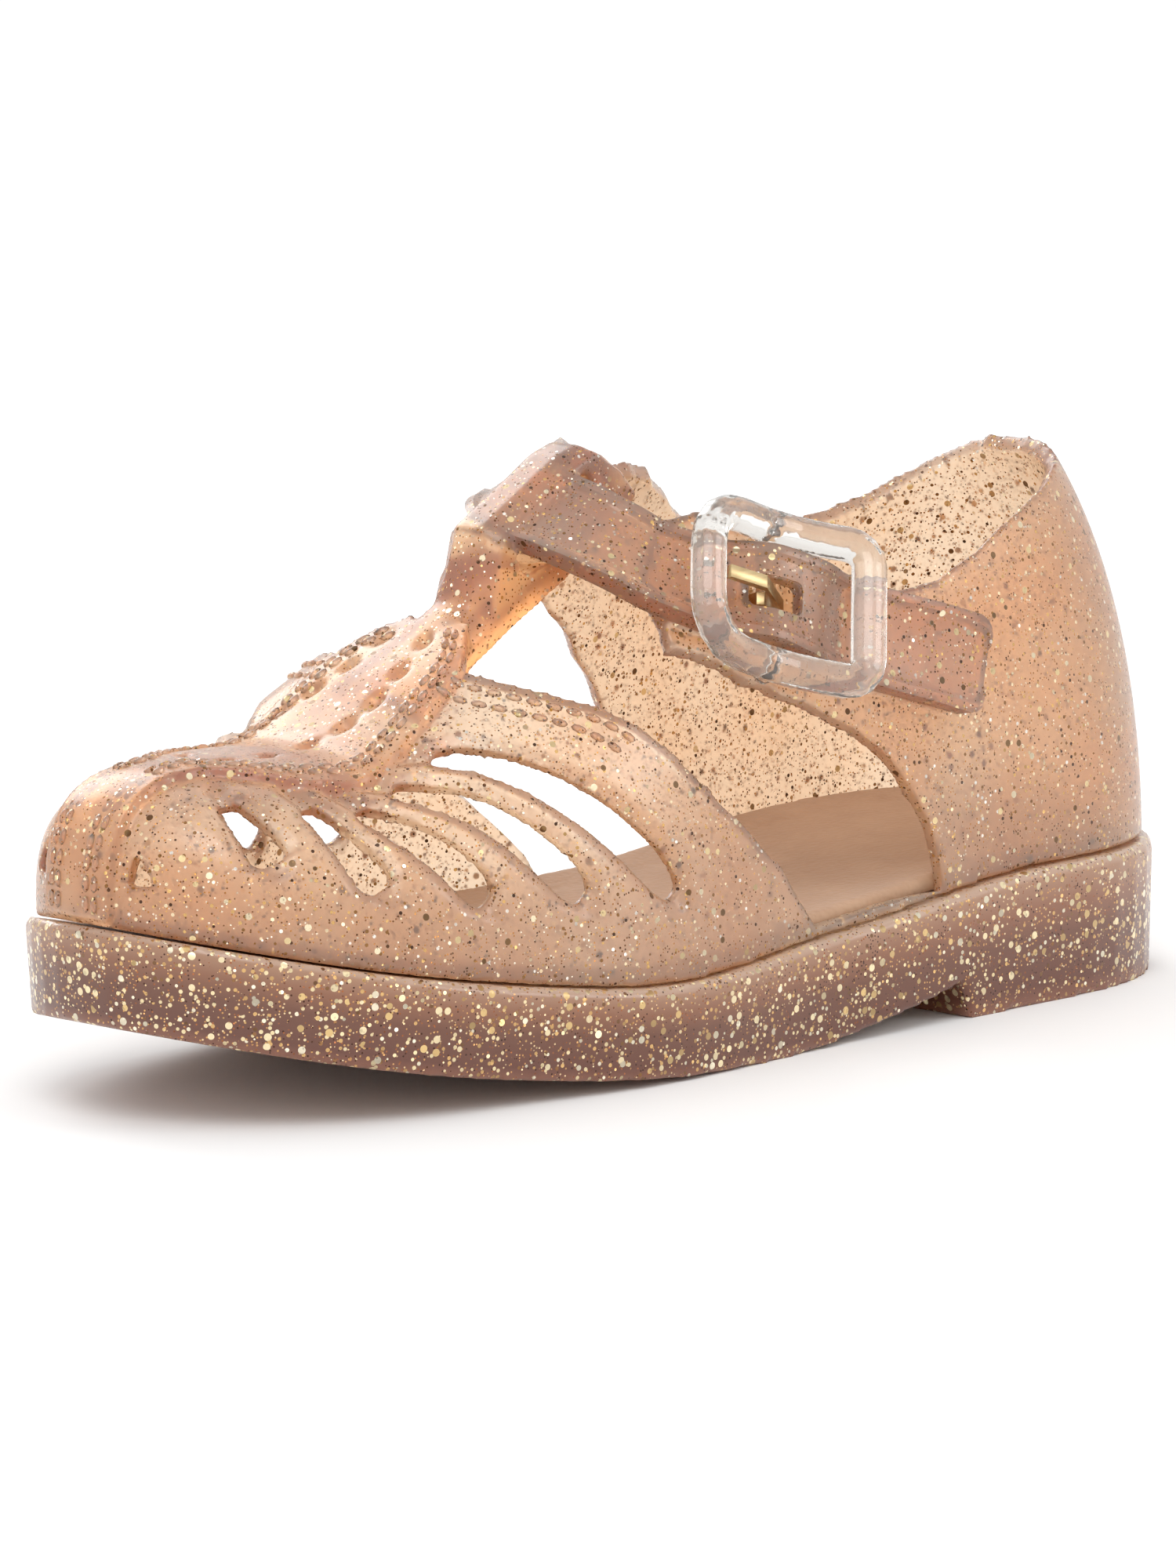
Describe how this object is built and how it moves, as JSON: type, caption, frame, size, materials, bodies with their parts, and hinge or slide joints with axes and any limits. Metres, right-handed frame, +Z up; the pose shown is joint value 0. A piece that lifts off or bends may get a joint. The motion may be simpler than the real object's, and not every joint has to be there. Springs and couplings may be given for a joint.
{
  "type": "jelly sandal",
  "caption": "Toddler's moulded T-bar jelly sandal with a slotted vamp, raised toe apron and a buckled ankle strap.",
  "frame": {"origin": "bottom centre of the bounding box, on the floor", "axes": "+X towards the heel, +Y towards the inner side of the foot, +Z up"},
  "size_m": [0.16, 0.0651, 0.0709],
  "materials": {
    "outsole": "see-through brown jelly with gold flakes",
    "footbed": "matte foam",
    "upper": "see-through peach jelly with glitter",
    "buckle_frame": "clear",
    "buckle_prong": "satin"
  },
  "bodies": {
    "root": {"outsole": "outsole", "footbed": "footbed", "upper": "upper", "buckle_frame": "buckle_frame", "buckle_prong": "buckle_prong"}
  },
  "joints": []
}
